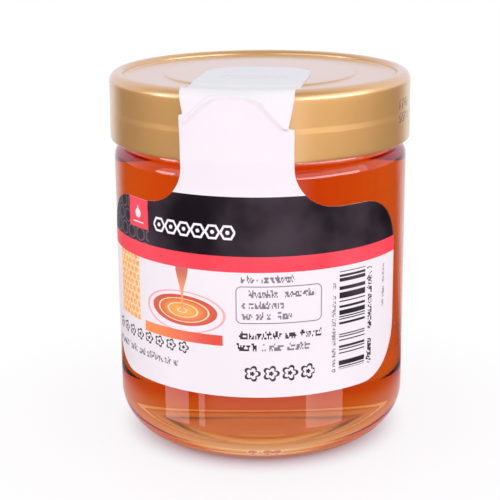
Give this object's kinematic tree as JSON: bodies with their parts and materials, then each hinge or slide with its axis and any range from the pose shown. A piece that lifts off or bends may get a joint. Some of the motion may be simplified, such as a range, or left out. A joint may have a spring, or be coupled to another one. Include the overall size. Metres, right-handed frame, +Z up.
{
  "type": "honey jar",
  "caption": "Clear glass jar filled with amber honey, closed by a deep gold metal lid, with a paper label whose seal tab runs up and over the lid.",
  "frame": {"origin": "on the surface that the jar stands on, below the middle of its overall box", "axes": "+Z up along the jar's axis, -Y out of the middle of the label and its seal tab"},
  "size_m": [0.0838, 0.0839, 0.1038],
  "materials": {
    "clear_glass": "clear and polished",
    "amber_honey": "clear amber honey, liquid",
    "gold_lacquer": "satin gold lacquer on tinplate",
    "label_paper": "smooth coated paper, printed"
  },
  "bodies": {
    "root": {"glass_jar": "clear_glass", "honey": "amber_honey", "lid": "gold_lacquer", "label": "label_paper"}
  },
  "joints": []
}
